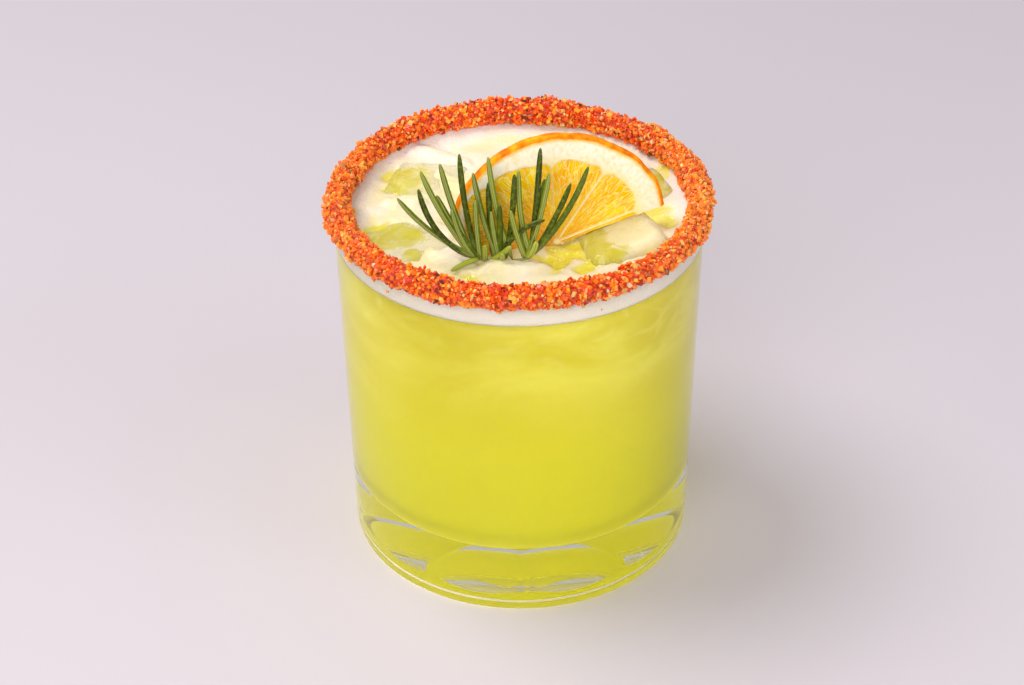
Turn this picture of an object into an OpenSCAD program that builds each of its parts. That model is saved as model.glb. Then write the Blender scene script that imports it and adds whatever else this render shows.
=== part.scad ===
// Margarita in a heavy-based tumbler with a chilli salt rim, ice, foam,
// a dried orange half wheel and a rosemary sprig.
// Origin: centre of the ring the glass stands on. +Z is up, -Y is the front.

/* [Glass] */
// Height of the glass
glass_height = 95; // [78:1:115]
// Outer radius at the rim
rim_radius = 45; // [37:0.5:54]
// Outer radius at the foot
foot_radius = 43; // [35:0.5:52]
// Thickness of the wall
wall = 2.3; // [1.8:0.1:3]
// Height of the inside floor above the table
floor_height = 16.5; // [12:0.5:20]
// Radius of the corner between floor and wall
floor_corner = 9; // [5:0.5:12]
// Radius of the outer bottom edge
heel_radius = 2; // [1:0.25:3]

/* [Glass underside] */
// Radius of the shallow recess inside the standing ring
recess_radius = 36; // [28:0.5:39]
// Depth of the shallow recess
recess_depth = 0.6; // [0.3:0.1:1.2]
// Number of scallops in the rosette
scallop_count = 8; // [5:1:12]
// Radius of the sphere that cuts one scallop
scallop_radius = 27.4; // [22:0.2:32]
// Distance of each scallop's middle from the axis
scallop_reach = 17.3; // [13:0.1:20]
// Depth of each scallop at its middle
scallop_depth = 6.3; // [4:0.1:8]
// Turn of the first scallop from the front
scallop_turn = 24.5; // [0:0.5:45]

/* [Drink] */
// Depth from the rim down to the top of the drink
drink_drop = 9; // [6:0.5:16]
// Thickness of the foam in the middle
foam_thickness = 2.5; // [1.5:0.25:5]
// Distance from the foam's edge on the wall up to the salt
foam_salt_gap = 0.3; // [0.1:0.1:2]
// Width of the climbing edge of the foam
foam_climb_width = 8; // [4:0.5:12]

/* [Ice] */
// Side of the larger ice cubes
ice_side = 21; // [17:0.5:26]
// Side of the smaller ice cube
small_ice_side = 17; // [14:0.5:21]
// Height of the cubes above the foam
ice_rise = 1.8; // [0.5:0.1:3]
// Distance from the ice to the wall
ice_gap = 0.6; // [0.3:0.1:2]

/* [Orange slice] */
// Radius of the half wheel
slice_radius = 28.4; // [24:0.1:34]
// Thickness at the rind
slice_thickness = 3; // [2.4:0.1:4]
// Width of rind and pith outside the flesh
peel_width = 6.5; // [5:0.1:8]
// Depth of the dried flesh below the pith, on each face
flesh_sink = 0.45; // [0.2:0.05:0.7]
// Number of segments in a whole wheel
segment_count = 9; // [8:1:12]
// Width of the skin between two segments
skin_width = 1.1; // [0.8:0.1:1.6]
// Distance from the middle of the wheel to the cut
slice_cut = 1; // [0:0.25:3]
// Lean of the slice backwards
slice_lean = 4.5; // [0:0.5:12]
// Turn of the slice about the upright axis
slice_turn = 19; // [10:0.5:28]
// Rise of the slice's right end
slice_tilt = 11.5; // [6:0.5:16]
// Distance from the slice's right end to the salt
slice_gap = 5.6; // [3:0.1:9]
// Distance of the slice's middle in front of the axis
slice_front = 12; // [8:0.5:16]
// Height of the slice's middle above the foam
slice_rise = 1.2; // [0:0.1:3]

/* [Rosemary sprig] */
// Radius of the stem
stem_radius = 1.3; // [1:0.1:1.8]
// Depth of the stem below the foam
stem_depth = 20; // [10:1:28]
// Height of the stem above the foam
stem_rise = 2.5; // [1.5:0.5:5]
// Length of each side shoot
shoot_length = 7.5; // [5:0.5:9]
// Radius of a side shoot
shoot_radius = 0.9; // [0.6:0.1:1.1]
// Distance of the stem left of the axis
stem_left = 4; // [2:0.5:8]
// Distance of the stem in front of the axis
stem_front = 22.3; // [20:0.1:24]
// Width of a needle
needle_width = 1.9; // [1.4:0.1:2.4]
// Thickness of a needle
needle_thickness = 1.1; // [0.8:0.1:1.6]

/* [Chilli salt rim] */
// Thickness of the crust on both faces of the wall
salt_thickness = 2.3; // [1.4:0.1:3]
// Thickness of the crust on top of the lip
salt_top = 2.2; // [1:0.1:2.8]
// Depth of the crust down the wall
salt_drop = 2.8; // [1.5:0.1:4]
// Unevenness of the crust
salt_rough = 0.5; // [0.2:0.05:0.7]

/* [Hidden] */
$fn = 96;

taper = atan((rim_radius - foot_radius) / glass_height);
wall_across = wall / cos(taper);
lip_radius = wall / 2;
drink_top = glass_height - drink_drop;
foam_top = drink_top + foam_thickness;
inner_rim = rim_radius - wall_across;
salt_inner = inner_rim - salt_thickness;
salt_middle = glass_height + (salt_top - salt_drop) / 2;
salt_half = (salt_top + salt_drop) / 2;
salt_bottom = salt_middle - salt_half * (1 + 0.2 * salt_rough);

// The slice's middle keeps its right end clear of the salt
slice_x = salt_inner - slice_gap - slice_radius * cos(slice_turn) * cos(slice_tilt);
slice_middle = [slice_x, -slice_front, foam_top + slice_rise];

// One row a needle, from where the stem leaves the foam: its tip to the right,
// behind and above, its foot along the side shoots, and how far it bows out
needles = [
    [-24, -1.5, 20, -5, 2.5], [-19, -2.5, 23, -6.8, 4], [-18.5, -0.5, 26.5, -6.5, 1.5],
    [-14, -1.5, 29, -6.5, 1], [-15, 0.5, 19.5, -5.5, 1], [-9.5, -0.5, 31, -5.5, 1.5],
    [-6.5, -0.5, 26, -0.8, 1], [-3, 1.5, 29, 2.5, 1.5], [-3, 2, 22, -2, 0.5],
    [3, 0.5, 25, 0.5, 1], [4, 2, 25, 7, 2], [9, 2, 31, 6.5, 0.5],
    [11, 1.5, 24.5, 5.5, 1], [10, 2.5, 22.5, 6, 0.5], [16, 2, 21.5, 6.5, 1],
    [20, 2, 26, 6, 2.5], [-6, -2.5, 20, -5, 0.5], [-0.5, -0.5, 17.5, -0.5, 0],
    [2, -1.5, 16.5, 5.5, 0.5], [10, -1, 13.5, -1, -3], [-11, -1, 13, -4, 1],
    [-11.5, -1.5, 17, -6, 1.5], [-12, -4, 1.6, -5.5, -1.5], [2, -3.5, 8, -3, 0.5],
    [-4, -3, 8, -4, 0], [8, -1.5, 8, 6, 0.5], [7, 0.5, 8, 5.5, 0.5],
    [0, -3.5, 6, 0, 0], [4.5, 1.5, 13.5, 5, 0], [-2.5, -1, 16, -0.5, 0.5]
];
needle_rings = 5;
needle_sides = 6;
shoot_slope = 10;

// Outer radius of the glass at a height, and the radius inside the wall
function outside(z) = foot_radius + (rim_radius - foot_radius) * z / glass_height;
function inside(z, gap = 0) = outside(z) - wall_across - gap;

function bend(a, b, c, t) = (1 - t) * (1 - t) * a + 2 * t * (1 - t) * b + t * t * c;
function unit(v) = v / norm(v);
function wave(a, n, k) = sin(a * n + 47 * k) + sin(a * (2 * n + 1) + 83 * k);

// Half outline of the space in the glass up to a height, drawn in from the wall by a gap
module space_outline(top, gap = 0) {
    corner = floor_corner - gap;
    level = floor_height + floor_corner;
    middle = inside(level, gap) - corner / cos(taper);
    polygon([[0, floor_height + gap], [middle, floor_height + gap], [middle, level],
             [middle + corner * cos(taper), level - corner * sin(taper)],
             [inside(top, gap), top], [0, top]]);
    intersection() {
        translate([middle, level]) circle(r = corner);
        translate([middle - 1, 0]) square([corner + 2, level]);
    }
}

module glass_outline() {
    lip_middle = rim_radius - lip_radius;
    heel_middle = outside(heel_radius) - heel_radius / cos(taper);
    difference() {
        polygon([[0, 0], [heel_middle, 0], [heel_middle, heel_radius],
                 [outside(heel_radius), heel_radius],
                 [outside(glass_height - lip_radius), glass_height - lip_radius],
                 [0, glass_height - lip_radius]]);
        space_outline(glass_height);
    }
    translate([heel_middle, heel_radius]) intersection() {
        circle(r = heel_radius);
        translate([0, -heel_radius]) square(heel_radius);
    }
    translate([outside(glass_height - lip_radius) - wall_across / 2, glass_height - lip_radius])
        intersection() {
            circle(r = wall_across / 2);
            translate([-wall, 0]) square([2 * wall, wall]);
        }
}

module glass() {
    color([0.8, 0.9, 0.9, 0.35]) difference() {
        rotate_extrude() glass_outline();
        translate([0, 0, -1]) cylinder(r = recess_radius, h = 1 + recess_depth);
        for (i = [0 : scallop_count - 1])
            rotate(scallop_turn - 90 + i * 360 / scallop_count)
                translate([scallop_reach, 0, scallop_depth - scallop_radius])
                    sphere(r = scallop_radius);
    }
}

module garnish_cut() {
    all_ice();
    slice_solid();
    stem();
}

module drink() {
    color([0.85, 0.8, 0.15]) difference() {
        rotate_extrude() space_outline(drink_top);
        garnish_cut();
    }
}

module foam() {
    foam_climb = salt_bottom - foam_salt_gap - foam_top;
    flat_radius = inside(foam_top) - foam_climb_width;
    half_way = flat_radius + foam_climb_width * 0.6;
    color([0.95, 0.92, 0.75]) difference() {
        rotate_extrude() polygon([
            [0, drink_top], [inside(drink_top), drink_top],
            [inside(foam_top + foam_climb), foam_top + foam_climb],
            [inside(foam_top + foam_climb) - 0.8, foam_top + foam_climb],
            [half_way, foam_top + foam_climb * 0.3],
            [flat_radius, foam_top], [0, foam_top]]);
        garnish_cut();
    }
}

// A melted cube: a cube with its edges and corners taken off
module cube_of_ice(side) {
    edge = side * 1.25;
    intersection() {
        cube(side, center = true);
        rotate([45, 0, 0]) cube([side, edge, edge], center = true);
        rotate([0, 45, 0]) cube([edge, side, edge], center = true);
        rotate([0, 0, 45]) cube([edge, edge, side], center = true);
        sphere(r = side * 0.78);
    }
}

module inside_glass() {
    rotate_extrude() space_outline(foam_top + 2 * ice_side, ice_gap);
}

// A cube of ice that shows above the foam: place from the axis, turn and tilt
module floating_ice(side, place, turn, tilt) {
    intersection() {
        translate([place[0], place[1], foam_top + ice_rise - side / 2])
            rotate([tilt[0], tilt[1], turn]) cube_of_ice(side);
        inside_glass();
    }
}

module back_left_ice() floating_ice(ice_side, [-23, 16.5], -14, [3, -2]);
module front_left_ice() floating_ice(ice_side, [-26.5, -11.5], 30, [-3, 2]);
module back_right_ice() floating_ice(small_ice_side, [30, 13], 20, [-2, -3]);

// This cube carries the slice's cut edge
module front_right_ice() {
    intersection() {
        in_slice_place() translate([slice_radius * 0.5, -slice_cut - ice_side / 2, 4])
            rotate([90, 0, 0]) cube_of_ice(ice_side);
        inside_glass();
    }
}

module all_ice() {
    back_left_ice();
    front_left_ice();
    front_right_ice();
    back_right_ice();
}

module ice_back_left() { color([0.9, 0.88, 0.5]) back_left_ice(); }
module ice_front_left() { color([0.9, 0.88, 0.5]) front_left_ice(); }
module ice_front_right() { color([0.9, 0.88, 0.5]) front_right_ice(); }
module ice_back_right() { color([0.9, 0.88, 0.5]) back_right_ice(); }

// Lays a wheel drawn flat where the slice stands, its cut along the wheel's x
module in_slice_place() {
    translate(slice_middle) rotate([90 - slice_lean, 0, slice_turn]) rotate(slice_tilt) children();
}

module wheel_outline() {
    square([slice_radius - slice_thickness / 2, slice_thickness / 2]);
    translate([slice_radius - slice_thickness / 2, 0]) intersection() {
        circle(r = slice_thickness / 2);
        square(slice_thickness);
    }
}

// Flat outline of the flesh between two skins
module segment_outline() {
    span = 360 / segment_count;
    start = skin_width / 2 / sin(span / 2);
    intersection() {
        circle(r = slice_radius - peel_width);
        rotate(span / 2) translate([start, 0]) polygon([
            [0, 0], [slice_radius * cos(span / 2), -slice_radius * sin(span / 2)],
            [slice_radius * cos(span / 2), slice_radius * sin(span / 2)]]);
    }
}

module slice_solid() {
    in_slice_place() intersection() {
        difference() {
            union() {
                rotate_extrude() wheel_outline();
                mirror([0, 0, 1]) rotate_extrude() wheel_outline();
            }
            for (i = [0 : ceil(segment_count / 2)], face = [0, 1])
                mirror([0, 0, face]) rotate((i - 0.25) * 360 / segment_count)
                    translate([0, 0, slice_thickness / 2 - flesh_sink])
                        linear_extrude(slice_thickness) segment_outline();
        }
        translate([-slice_radius, -slice_cut, -slice_thickness])
            cube([2 * slice_radius, slice_radius + slice_cut, 2 * slice_thickness]);
    }
}

module orange_slice() { color([0.98, 0.65, 0.15]) slice_solid(); }

module stem() {
    translate([-stem_left, -stem_front, foam_top - stem_depth])
        cylinder(r = stem_radius, h = stem_depth + stem_rise);
}

// One of the two low side shoots that carry the needles' feet
module shoot(side) {
    translate([0, 0, stem_radius]) rotate([0, side * (90 - shoot_slope), 0])
        cylinder(r = shoot_radius, h = shoot_length, $fn = 12);
}

// A flattened rod that swells from the stem and narrows to the tip
module needle(row) {
    foot = [row[3], 0, stem_radius + abs(row[3]) * tan(shoot_slope)];
    tip = [row[0], row[1], row[2]];
    bow = [row[0] > row[3] ? row[4] : -row[4], 0, -row[4]];
    turn_at = (foot + tip) / 2 + bow;
    rings = [for (i = [0 : needle_rings]) let (
        t = i / needle_rings,
        middle = bend(foot, turn_at, tip, t),
        along = unit((1 - t) * (turn_at - foot) + t * (tip - turn_at)),
        side = unit(cross(along, [0, 1, 0.3])),
        out = cross(side, along),
        size = t < 0.15 ? 0.5 + t / 0.3 : t < 0.8 ? 1 : 1 - 3.5 * (t - 0.8)
    ) for (k = [0 : needle_sides - 1]) let (a = k * 360 / needle_sides)
        middle + size * (needle_width / 2 * cos(a) * side + needle_thickness / 2 * sin(a) * out)];
    last = needle_rings * needle_sides;
    polyhedron(points = rings, faces = concat(
        [[for (k = [needle_sides - 1 : -1 : 0]) k]],
        [[for (k = [0 : needle_sides - 1]) last + k]],
        [for (i = [0 : needle_rings - 1], k = [0 : needle_sides - 1])
            let (n = (k + 1) % needle_sides, base = i * needle_sides)
            [base + k, base + n, base + needle_sides + n, base + needle_sides + k]]
    ));
}

module rosemary_sprig() {
    color([0.3, 0.45, 0.12]) union() {
        stem($fn = 16);
        translate([-stem_left, -stem_front, foam_top]) {
            for (side = [-1, 1]) shoot(side);
            for (row = needles) needle(row);
        }
    }
}

// The crust is one uneven ring laid over the lip, and the lip is cut out of it
module chilli_salt_rim() {
    steps = 108;
    sides = 12;
    middle = [rim_radius - wall_across / 2, salt_middle];
    half = [wall_across / 2 + salt_thickness, salt_half];
    points = [for (i = [0 : steps - 1], k = [0 : sides - 1]) let (
        a = i * 360 / steps,
        b = k * 360 / sides,
        lump = 1 + salt_rough * 0.1 * wave(a, 7 + k % 5, k),
        r = middle[0] + half[0] * lump * cos(b),
        z = middle[1] + half[1] * lump * sin(b)
    ) [r * cos(a), r * sin(a), z]];
    color([0.85, 0.35, 0.12]) difference() {
        polyhedron(points = points, faces = [
            for (i = [0 : steps - 1], k = [0 : sides - 1])
                let (j = (i + 1) % steps, n = (k + 1) % sides)
                [i * sides + k, i * sides + n, j * sides + n, j * sides + k]]);
        rotate_extrude() offset(delta = 0.05) intersection() {
            glass_outline();
            translate([0, glass_height / 2]) square([2 * rim_radius, glass_height]);
        }
    }
}

glass();
drink();
foam();
ice_back_left();
ice_front_left();
ice_front_right();
ice_back_right();
orange_slice();
rosemary_sprig();
chilli_salt_rim();
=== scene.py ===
import math
import random
import bmesh
import bpy
import numpy as np
from mathutils import Matrix, Quaternion, Vector, noise


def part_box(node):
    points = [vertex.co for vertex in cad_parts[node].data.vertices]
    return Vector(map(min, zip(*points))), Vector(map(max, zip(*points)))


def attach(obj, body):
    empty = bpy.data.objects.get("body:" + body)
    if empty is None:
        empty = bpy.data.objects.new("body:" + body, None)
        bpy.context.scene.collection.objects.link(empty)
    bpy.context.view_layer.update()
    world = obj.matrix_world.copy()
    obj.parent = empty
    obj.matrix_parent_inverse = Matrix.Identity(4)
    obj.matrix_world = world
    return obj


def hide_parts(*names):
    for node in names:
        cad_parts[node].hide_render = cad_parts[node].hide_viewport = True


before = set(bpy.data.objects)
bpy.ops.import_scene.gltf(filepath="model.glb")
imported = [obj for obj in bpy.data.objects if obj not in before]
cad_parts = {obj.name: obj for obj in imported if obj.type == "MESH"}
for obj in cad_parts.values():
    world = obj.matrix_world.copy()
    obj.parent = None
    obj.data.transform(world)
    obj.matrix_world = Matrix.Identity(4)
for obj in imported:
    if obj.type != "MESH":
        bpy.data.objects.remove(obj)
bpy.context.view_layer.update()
print("frame loaded")

mm = 0.001
tau = 2 * math.pi
rnd = random.Random(7)

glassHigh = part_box("glass")[1]
drinkLow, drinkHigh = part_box("drink")
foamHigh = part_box("foam")[1]


# ---- small tools for materials

def paint(red, green, blue):
    # screen colour, 0 to 255, to the linear one that sockets take
    tones = [tone / 255 for tone in (red, green, blue)]
    return tuple(t / 12.92 if t < 0.04 else ((t + 0.055) / 1.055) ** 2.4 for t in tones) + (1,)


class Wire:
    # one socket of a material, which Python's operators turn into Math nodes
    def __init__(self, finish, socket):
        self.finish = finish
        self.socket = socket

    def maths(self, operation, *values):
        return self.finish.add("ShaderNodeMath", {"operation": operation}, dict(enumerate(values)))

    def __add__(self, other):
        return self.maths("ADD", self, other)

    def __radd__(self, other):
        return self.maths("ADD", other, self)

    def __sub__(self, other):
        return self.maths("SUBTRACT", self, other)

    def __rsub__(self, other):
        return self.maths("SUBTRACT", other, self)

    def __mul__(self, other):
        return self.maths("MULTIPLY", self, other)

    def __rmul__(self, other):
        return self.maths("MULTIPLY", other, self)

    def __truediv__(self, other):
        return self.maths("DIVIDE", self, other)

    def __rtruediv__(self, other):
        return self.maths("DIVIDE", other, self)

    def __pow__(self, other):
        return self.maths("POWER", self, other)

    def __rpow__(self, other):
        return self.maths("POWER", other, self)

    def __abs__(self):
        return self.maths("ABSOLUTE", self)

    def smooth(self, low, high):
        # 0 below low, 1 above high, eased between
        return self.finish.add("ShaderNodeMapRange", {"interpolation_type": "SMOOTHSTEP"},
                               {"Value": self, "From Min": low, "From Max": high})


class Finish:
    def __init__(self, name, **uniform):
        self.material = bpy.data.materials.new(name)
        self.material.use_nodes = True
        self.tree = self.material.node_tree
        self.shader = self.tree.nodes["Principled BSDF"]
        for socket, value in uniform.items():
            self.shader.inputs[socket.replace("_", " ")].default_value = value

    def add(self, kind, settings=None, inputs=None, out=0):
        # a node of any kind: its settings first, then what its sockets take
        node = self.tree.nodes.new(kind)
        for key, value in (settings or {}).items():
            if key == "stops":
                ramp = node.color_ramp.elements
                while len(ramp) < len(value):
                    ramp.new(0.5)
                for stop, (place, colour) in zip(ramp, value):
                    stop.position = place
                    stop.color = colour
            else:
                setattr(node, key, value)
        for key, value in (inputs or {}).items():
            self.join(node.inputs[key], value)
        return Wire(self, node.outputs[out])

    def join(self, socket, value):
        if isinstance(value, Wire):
            self.tree.links.new(value.socket, socket)
        else:
            socket.default_value = value

    def feed(self, socket, value):
        self.join(self.shader.inputs[socket], value)

    def place(self, out="Object"):
        return self.add("ShaderNodeTexCoord", out=out)

    def attribute(self, name):
        return self.add("ShaderNodeAttribute", {"attribute_name": name}, out="Fac")

    def axis(self, vector, index):
        return self.add("ShaderNodeSeparateXYZ", inputs={0: vector}, out=index)

    def stretch(self, vector, x, y, z):
        return self.add("ShaderNodeMapping", inputs={"Vector": vector, "Scale": (x, y, z)})

    def clouds(self, vector, scale, detail=3, rough=0.5, warp=0):
        return self.add("ShaderNodeTexNoise", inputs={
            "Vector": vector, "Scale": scale, "Detail": detail, "Roughness": rough, "Distortion": warp})

    def cells(self, vector, scale, feature="F1", out=0):
        return self.add("ShaderNodeTexVoronoi", {"feature": feature},
                        {"Vector": vector, "Scale": scale}, out)

    def blend(self, amount, first, second):
        return self.add("ShaderNodeMix", {"data_type": "RGBA"}, {0: amount, 6: first, 7: second}, out=2)

    def ramp(self, amount, *stops):
        return self.add("ShaderNodeValToRGB", {"stops": stops}, {0: amount})

    def bump(self, height, distance, strength=1.0):
        return self.add("ShaderNodeBump", inputs={
            "Height": height, "Distance": distance, "Strength": strength})

    def letLampsThrough(self, share=1.0, tint=(0.96, 0.97, 0.96, 1)):
        # shadow rays pass in part, so what is behind or inside is lit
        output = self.tree.nodes["Material Output"]
        shadow = self.add("ShaderNodeLightPath", out="Is Shadow Ray") * share
        clear = self.add("ShaderNodeBsdfTransparent", inputs={"Color": tint})
        mixed = self.add("ShaderNodeMixShader", inputs={
            0: shadow, 1: Wire(self, self.shader.outputs[0]), 2: clear})
        self.tree.links.new(mixed.socket, output.inputs["Surface"])


# ---- small tools for shapes

def keepPiece(name, bm, finish, nodes=(), sharpFrom=None):
    # a smooth piece, creased where faces meet at more than sharpFrom degrees
    if sharpFrom:
        for edge in bm.edges:
            edge.smooth = not (edge.is_manifold and edge.calc_face_angle(0) > math.radians(sharpFrom))
    for face in bm.faces:
        face.smooth = True
    mesh = bpy.data.meshes.new(name)
    bm.to_mesh(mesh)
    bm.free()
    return keepMesh(name, mesh, finish, nodes)


def keepMesh(name, mesh, finish, nodes=()):
    # puts a mesh into the scene and hides the nodes it stands for
    mesh.materials.append(finish.material)
    piece = bpy.data.objects.new(name, mesh)
    bpy.context.scene.collection.objects.link(piece)
    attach(piece, "root")
    if nodes:
        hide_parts(*nodes)
    return piece


def arc(x, z, radius, start, end, steps):
    # points on an arc, angles in degrees from outward, both ends included
    turns = [math.radians(start + (end - start) * i / steps) for i in range(steps + 1)]
    return [(x + radius * math.cos(t), z + radius * math.sin(t)) for t in turns]


def line(start, end, steps):
    # points from start up to but without end
    return [(start[0] + (end[0] - start[0]) * i / steps, start[1] + (end[1] - start[1]) * i / steps)
            for i in range(steps)]


def turned(outline, steps, startTurn=0.0, closed=False):
    # spins an outline of (radius, height) points about the upright axis
    bm = bmesh.new()
    cos, sin = math.cos(math.radians(startTurn)), math.sin(math.radians(startTurn))
    verts = [bm.verts.new((r * cos, r * sin, z)) for r, z in outline]
    edges = [bm.edges.new(pair) for pair in zip(verts, verts[1:])]
    if closed:
        edges.append(bm.edges.new((verts[-1], verts[0])))
    bmesh.ops.spin(bm, geom=verts + edges, cent=(0, 0, 0), axis=(0, 0, 1),
                   angle=tau, steps=steps, use_merge=True)
    bmesh.ops.remove_doubles(bm, verts=bm.verts, dist=1e-7)
    bmesh.ops.recalc_face_normals(bm, faces=bm.faces)
    return bm


def lump(point, scale, seed=0.0):
    # smooth noise from -1 to 1, scale in lumps a millimetre
    return noise.noise(Vector(point) * (scale / mm) + Vector((seed, 3 * seed, 7 * seed)))


# ---- glass

glassSet = {
    "footRadius": 43 * mm, "wall": 2.3 * mm, "corner": 9 * mm, "heel": 2 * mm,
    "recessRadius": 36 * mm, "recessDepth": 0.6 * mm,
    "scallops": 8, "scallopRadius": 27.4 * mm, "scallopReach": 17.3 * mm,
    "scallopDepth": 6.3 * mm, "firstRidge": 2.0, "steps": 192, "scallopRings": 30,
    "rosetteReach": 30 * mm, "standInner": 38 * mm,
}
rimRadius, rimHeight = glassHigh.x, glassHigh.z
floorHeight = drinkLow.z
taper = math.atan((rimRadius - glassSet["footRadius"]) / rimHeight)
wallAcross = glassSet["wall"] / math.cos(taper)
lipRadius = wallAcross / 2
lipHeight = rimHeight - lipRadius


def outside(z):
    # radius of the outer wall at a height
    return glassSet["footRadius"] + (rimRadius - glassSet["footRadius"]) * z / rimHeight


def inside(z, reach=0.0):
    # radius of the inner wall, or of what reaches into it
    return outside(z) - wallAcross + reach


def cornerArc(reach, steps):
    # the round inner corner from wall to floor, as the glass or as what fills it
    radius = glassSet["corner"] + reach
    level = floorHeight + glassSet["corner"]
    middle = inside(level, reach) - radius / math.cos(taper)
    return arc(middle, level, radius, -math.degrees(taper), -90, steps)


def scallopTop(radius, turn):
    # height of the underside in one eighth of the rosette, turn from the scallop's middle line
    across = radius * math.sin(turn)
    along = radius * math.cos(turn) - glassSet["scallopReach"]
    middle = glassSet["scallopDepth"] - glassSet["scallopRadius"]
    under = glassSet["scallopRadius"] ** 2 - across ** 2 - along ** 2
    return middle + math.sqrt(max(under, 0))


def scallopSpan(turn):
    # nearest and farthest radius of a scallop's rim in the recess
    drop = glassSet["recessDepth"] - glassSet["scallopDepth"] + glassSet["scallopRadius"]
    rim = glassSet["scallopRadius"] ** 2 - drop ** 2
    across = (glassSet["scallopReach"] * math.sin(turn)) ** 2
    half = math.sqrt(max(rim - across, 0))
    along = glassSet["scallopReach"] * math.cos(turn)
    return max(along - half, 0.3 * mm), along + half


def buildGlass(finish):
    s = glassSet
    rings = s["scallopRings"]
    mark = s["rosetteReach"]
    outline = [(0, s["recessDepth"])]
    outline += [(mark * (i + 1) / (rings + 1), s["recessDepth"]) for i in range(rings + 1)]
    outline += [(s["recessRadius"] - 0.35 * mm, s["recessDepth"])]
    outline += [(s["recessRadius"] - 0.08 * mm, s["recessDepth"] - 0.08 * mm)]
    outline += [(s["recessRadius"], 0.12 * mm), (s["recessRadius"] + 0.15 * mm, 0)]
    heelMiddle = outside(s["heel"]) - s["heel"] / math.cos(taper)
    outline += line((s["standInner"], 0), (heelMiddle, 0), 2)
    outline += arc(heelMiddle, s["heel"], s["heel"], -90, -math.degrees(taper), 10)
    outline += line((outside(4 * mm), 4 * mm), (outside(lipHeight), lipHeight), 16)
    outline += arc(outside(lipHeight) - lipRadius, lipHeight, lipRadius, 0, 180, 16)
    level = floorHeight + s["corner"]
    outline += line((inside(lipHeight - mm), lipHeight - mm), (inside(level + mm), level + mm), 14)
    outline += cornerArc(0, 14)
    outline += line((cornerArc(0, 1)[-1][0] - mm, floorHeight), (0, floorHeight), 8)
    outline += [(0, floorHeight)]
    bm = turned(outline, s["steps"], s["firstRidge"])
    eighth = tau / s["scallops"]
    for vert in bm.verts:
        radius = math.hypot(vert.co.x, vert.co.y)
        if abs(vert.co.z - s["recessDepth"]) > 1e-6 or radius > mark + 1e-6 or radius < 1e-6:
            continue
        angle = math.atan2(vert.co.y, vert.co.x) - math.radians(s["firstRidge"])
        turn = angle % eighth - eighth / 2
        near, far = scallopSpan(turn)
        share = (radius / mark * (rings + 1) - 1) / rings
        radius = near + (far - near) * share
        vert.co = (radius * math.cos(angle + math.radians(s["firstRidge"])),
                   radius * math.sin(angle + math.radians(s["firstRidge"])),
                   max(s["recessDepth"], scallopTop(radius, turn)))
    return keepPiece("glass_tumbler", bm, finish, ["glass"], sharpFrom=24)


clearGlass = Finish("clearGlass", Base_Color=(0.985, 0.995, 0.985, 1), Roughness=0.0, IOR=1.5,
                    Transmission_Weight=1.0)
place = clearGlass.place()
clearGlass.feed("Normal", clearGlass.bump(clearGlass.clouds(place, 60, 2), 0.0004, 0.05))
clearGlass.letLampsThrough()
buildGlass(clearGlass)
print("glass made")


# ---- where foam lies and where the drink shows

foamSet = {
    "steps": 320, "reach": 0.15 * mm, "rings": 84, "climbWidth": 8 * mm,
    "puff": 1.1 * mm, "lumps": 0.5 * mm, "grain": 0.16 * mm, "wander": 3.2, "bubbles": 190,
    # raised streaks: x, y, half length, half width, turn in degrees, rise, all but the turn in millimetres
    "streaks": [(-19, 27, 14, 4.6, -16, 2.7), (-17, 14, 10, 3.6, -62, 2.7), (-27, 5.5, 10, 4, 12, 2.3),
                (-18, -9, 9, 4.6, -58, 2.7), (-17, -20.5, 9, 4.5, -20, 3.6), (-2, -24.6, 13, 4.8, 2, 2.9),
                (23, -24, 8, 3, 30, 1.6), (27, -10, 10, 4.4, 32, 2.2), (29, 25, 6, 4, 60, 2.2)],
    # where the foam is thin and the drink shows: the same, with a strength in place of the rise
    "windows": [(-28, 16, 10, 9, 0, 0.75), (-23, 32, 9, 4, -10, 0.45), (-31, -10, 11, 9, -20, 1.0),
                (-37, -1, 6, 5, 0, 0.5), (-14, -27.5, 6, 2.5, -10, 0.8), (-25, -19, 4, 3, 0, 0.7),
                (7, -22, 9, 7, 20, 1.0), (14, -14, 12, 10, 30, 1.0), (33, -1, 8, 9, 0, 0.8),
                (21, -21, 8.5, 4.5, 30, 1.1), (35.5, 16, 3.5, 11, 0, 0.8), (28, 8, 8, 8, 0, 0.8),
                (-12, 3, 8, 8, 0, 0.35), (9, 12, 11, 5, 15, 0.6), (3, 25, 9, 4, -10, 0.5)],
}


def easeStep(value):
    # 0 up to 0, 1 from 1 on, eased between
    value = max(0.0, min(1.0, value))
    return value * value * (3 - 2 * value)


def inSpot(x, y, row):
    # 1 in the middle of an ellipse, 0 from its edge outwards
    turn = math.radians(row[4])
    along = (x - row[0]) * math.cos(turn) + (y - row[1]) * math.sin(turn)
    across = (y - row[1]) * math.cos(turn) - (x - row[0]) * math.sin(turn)
    return 1 - math.hypot(along / row[2], across / row[3])


def foamAt(x, y):
    # how far the foam stands above its level, and how much of the drink shows through it
    s = foamSet
    flat = (x, y, 0)
    xs = x / mm + s["wander"] * lump(flat, 0.11, 21) + 1.2 * lump(flat, 0.35, 23)
    ys = y / mm + s["wander"] * lump(flat, 0.11, 22) + 1.2 * lump(flat, 0.35, 24)
    cover = [easeStep(1.5 * inSpot(xs, ys, row)) for row in s["streaks"]]
    rise = max(row[5] * mm * c for row, c in zip(s["streaks"], cover))
    film = max(row[5] * easeStep(1.8 * inSpot(xs, ys, row)) for row in s["windows"])
    film *= 1 - 0.9 * max(cover)
    film *= 0.75 + 0.5 * lump(flat, 0.3, 31)
    return rise, max(0.0, film)


# ---- ice

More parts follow.
